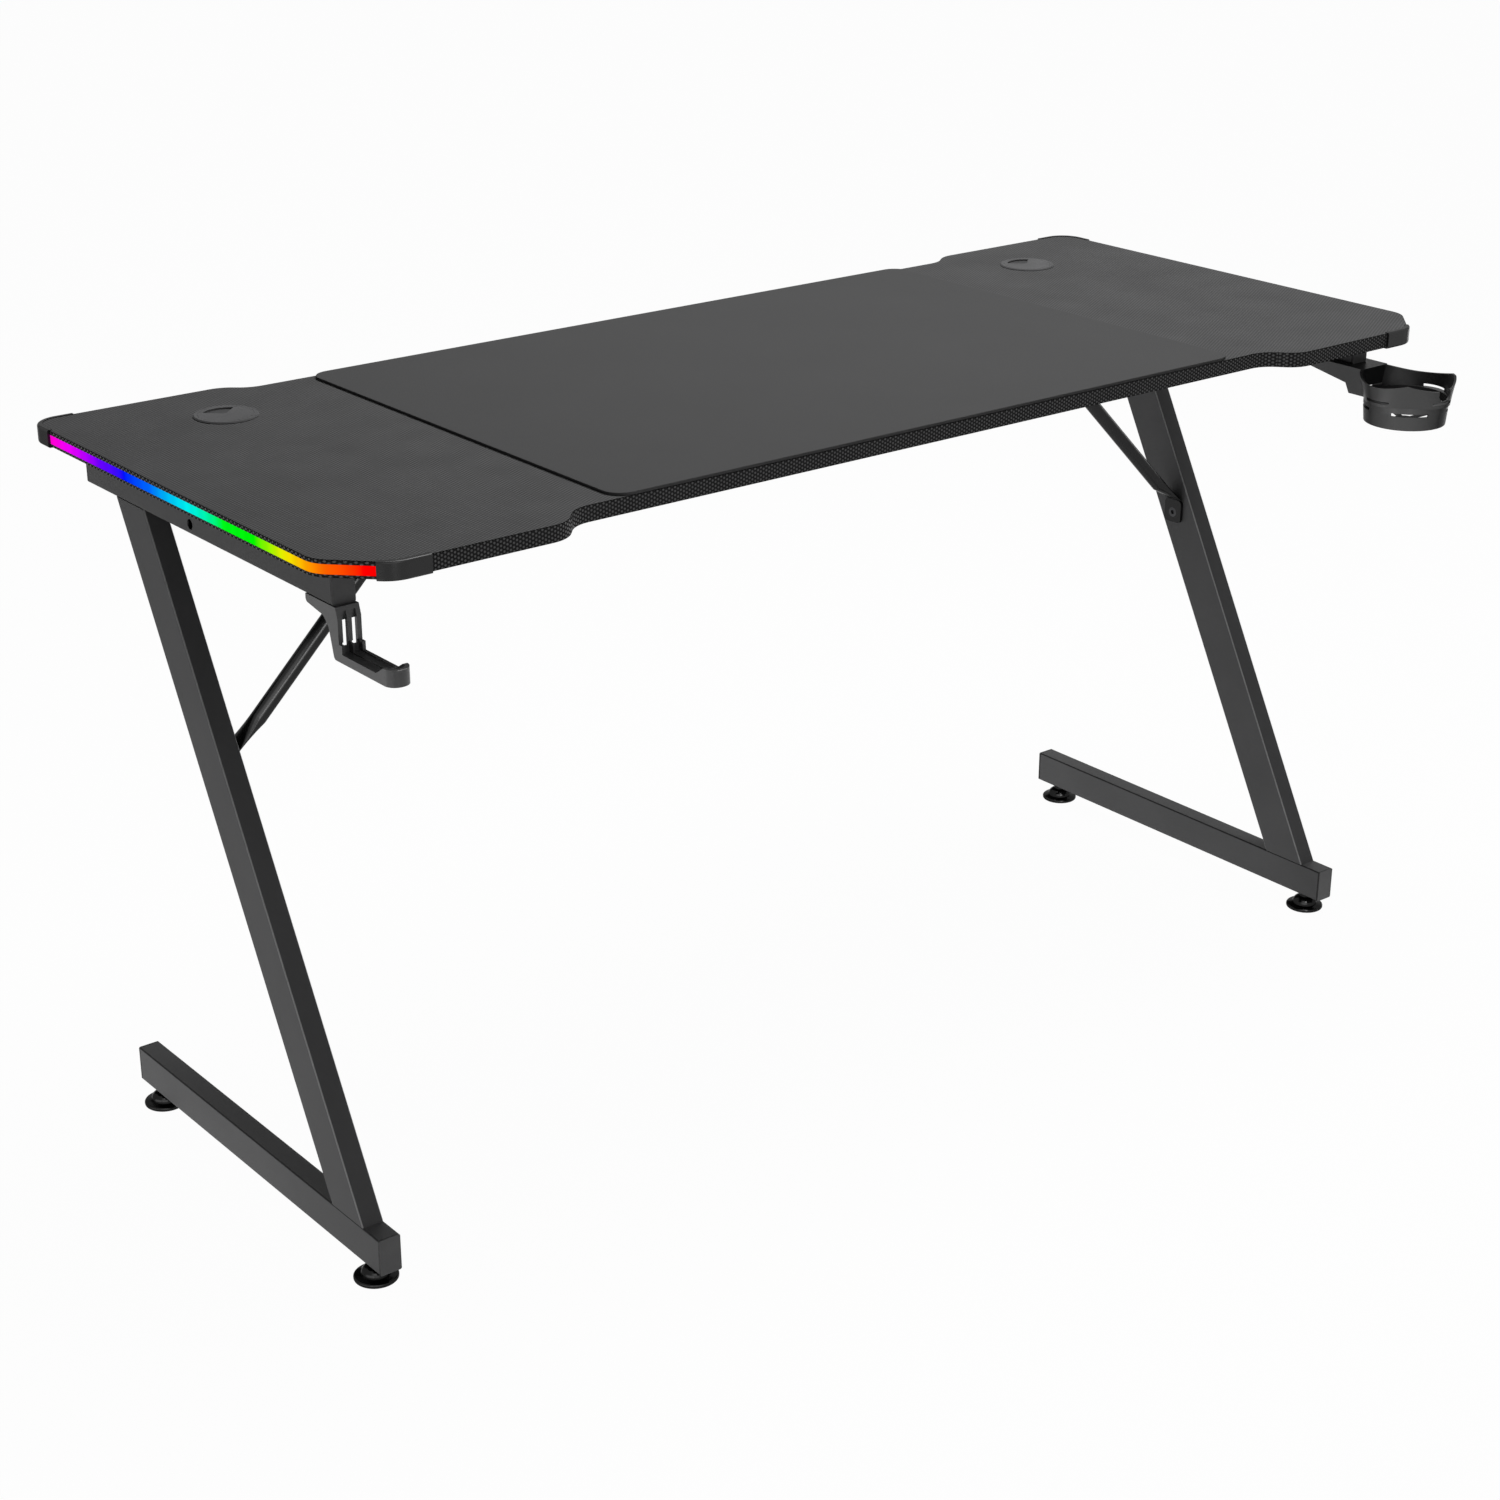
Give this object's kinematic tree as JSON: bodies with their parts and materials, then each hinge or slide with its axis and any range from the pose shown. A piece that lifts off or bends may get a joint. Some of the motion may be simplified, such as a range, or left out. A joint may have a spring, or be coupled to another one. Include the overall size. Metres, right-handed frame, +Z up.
{
  "type": "gaming desk",
  "caption": "Z-leg gaming desk with a woven-look top, cloth mat, lit edges, cable grommets, cup holder, headphone hook and levelling feet.",
  "frame": {"origin": "on the floor, under the middle of the desk's overall box with the feet screwed in", "axes": "+X along the desk to the right of the person who sits at it, +Y to the rear edge, +Z up"},
  "size_m": [1.4082, 0.6406, 0.736],
  "materials": {
    "board_film": "particle board under a dark woven-look film",
    "guard_plastic": "glossy black moulding",
    "light_diffuser": "milky, lit from behind in bands of colour",
    "light_tape": "flexible printed tape",
    "mat_cloth": "smooth dark grey cloth",
    "grommet_plastic": "matt dark grey moulding",
    "frame_paint": "dark grey powder coat",
    "brace_paint": "satin black paint",
    "cap_plastic": "matt dark grey moulding",
    "fastener_steel": "dark plated steel",
    "foot_plastic": "glossy black moulding",
    "holder_plastic": "satin dark grey moulding",
    "controller_plastic": "matt black moulding",
    "circuit": "green circuit board",
    "socket_metal": "bare steel shell",
    "lead_jacket": "black jacket"
  },
  "bodies": {
    "desk": {"desktop_board": "board_film", "front_left_corner_guard": "guard_plastic", "front_right_corner_guard": "guard_plastic", "rear_left_corner_guard": "guard_plastic", "rear_right_corner_guard": "guard_plastic", "left_led_diffuser": "light_diffuser", "right_led_diffuser": "light_diffuser", "left_led_tape": "light_tape", "right_led_tape": "light_tape", "desk_mat": "mat_cloth", "left_grommet_liner": "grommet_plastic", "right_grommet_liner": "grommet_plastic", "left_top_rail": "frame_paint", "left_leg_post": "frame_paint", "left_foot_rail": "frame_paint", "right_top_rail": "frame_paint", "right_leg_post": "frame_paint", "right_foot_rail": "frame_paint", "crossbeam": "frame_paint", "crossbeam_end_plates": "frame_paint", "left_brace": "brace_paint", "right_brace": "brace_paint", "top_rail_end_caps": "cap_plastic", "foot_rail_end_caps": "cap_plastic", "corner_guard_screws": "fastener_steel", "crossbeam_bolts": "fastener_steel", "brace_bolts": "fastener_steel", "brace_rivet_nuts": "fastener_steel", "desktop_screws": "fastener_steel", "hook_screws": "fastener_steel", "cup_holder_screws": "fastener_steel", "controller_mounting_screws": "fastener_steel", "controller_lid_screws": "fastener_steel", "foot_inserts": "fastener_steel", "headphone_hook": "holder_plastic", "cup_holder": "holder_plastic", "controller_housing": "controller_plastic", "controller_lid": "controller_plastic", "lead_clips": "controller_plastic", "controller_circuit_board": "circuit", "power_socket": "socket_metal", "left_light_lead": "lead_jacket", "right_light_lead": "lead_jacket"},
    "front_left_foot_pad": {"front_left_foot_pad": "foot_plastic"},
    "front_right_foot_pad": {"front_right_foot_pad": "foot_plastic"},
    "rear_left_foot_pad": {"rear_left_foot_pad": "foot_plastic"},
    "rear_right_foot_pad": {"rear_right_foot_pad": "foot_plastic"},
    "front_left_foot_stud": {"front_left_foot_stud": "fastener_steel"},
    "front_right_foot_stud": {"front_right_foot_stud": "fastener_steel"},
    "rear_left_foot_stud": {"rear_left_foot_stud": "fastener_steel"},
    "rear_right_foot_stud": {"rear_right_foot_stud": "fastener_steel"},
    "left_grommet_cap": {"left_grommet_cap": "grommet_plastic"},
    "left_grommet_shutter": {"left_grommet_shutter": "grommet_plastic"},
    "right_grommet_cap": {"right_grommet_cap": "grommet_plastic"},
    "right_grommet_shutter": {"right_grommet_shutter": "grommet_plastic"},
    "controller_button": {"controller_button": "controller_plastic"}
  },
  "joints": [
    {"name": "front_left_foot_extend", "type": "slide", "parent": "desk", "child": "front_left_foot_pad", "axis": [0, 0, -1], "range_m": [0, 0.01]},
    {"name": "front_left_foot_turn", "type": "hinge", "parent": "front_left_foot_pad", "child": "front_left_foot_stud", "pos_m": [-0.66055, -0.18425, 0.02], "axis": [0, 0, -1], "range_deg": [0, 3240]},
    {"name": "front_right_foot_extend", "type": "slide", "parent": "desk", "child": "front_right_foot_pad", "axis": [0, 0, -1], "range_m": [0, 0.01]},
    {"name": "front_right_foot_turn", "type": "hinge", "parent": "front_right_foot_pad", "child": "front_right_foot_stud", "pos_m": [0.65145, -0.18425, 0.02], "axis": [0, 0, -1], "range_deg": [0, 3240]},
    {"name": "rear_left_foot_extend", "type": "slide", "parent": "desk", "child": "rear_left_foot_pad", "axis": [0, 0, -1], "range_m": [0, 0.01]},
    {"name": "rear_left_foot_turn", "type": "hinge", "parent": "rear_left_foot_pad", "child": "rear_left_foot_stud", "pos_m": [-0.66055, 0.24075, 0.02], "axis": [0, 0, -1], "range_deg": [0, 3240]},
    {"name": "rear_right_foot_extend", "type": "slide", "parent": "desk", "child": "rear_right_foot_pad", "axis": [0, 0, -1], "range_m": [0, 0.01]},
    {"name": "rear_right_foot_turn", "type": "hinge", "parent": "rear_right_foot_pad", "child": "rear_right_foot_stud", "pos_m": [0.65145, 0.24075, 0.02], "axis": [0, 0, -1], "range_deg": [0, 3240]},
    {"name": "left_grommet_cap_lift", "type": "slide", "parent": "desk", "child": "left_grommet_cap", "axis": [0, 0, 1], "range_m": [0, 0.02]},
    {"name": "left_grommet_shutter_turn", "type": "hinge", "parent": "left_grommet_cap", "child": "left_grommet_shutter", "pos_m": [-0.54255, 0.21875, 0.73], "axis": [0, 0, 1], "range_deg": [0, 100]},
    {"name": "right_grommet_cap_lift", "type": "slide", "parent": "desk", "child": "right_grommet_cap", "axis": [0, 0, 1], "range_m": [0, 0.02]},
    {"name": "right_grommet_shutter_turn", "type": "hinge", "parent": "right_grommet_cap", "child": "right_grommet_shutter", "pos_m": [0.53345, 0.21875, 0.73], "axis": [0, 0, 1], "range_deg": [0, 100]},
    {"name": "controller_button_press", "type": "slide", "parent": "desk", "child": "controller_button", "axis": [0, 0, 1], "range_m": [0, 0.0008], "stiffness_N_per_m": 500, "springref_m": -0.001}
  ],
  "couplings": [
    {"joint": "front_left_foot_turn", "follows": "front_left_foot_extend", "rad_per_m": 5026.5},
    {"joint": "front_right_foot_turn", "follows": "front_right_foot_extend", "rad_per_m": 5026.5},
    {"joint": "rear_left_foot_turn", "follows": "rear_left_foot_extend", "rad_per_m": 5026.5},
    {"joint": "rear_right_foot_turn", "follows": "rear_right_foot_extend", "rad_per_m": 5026.5}
  ]
}
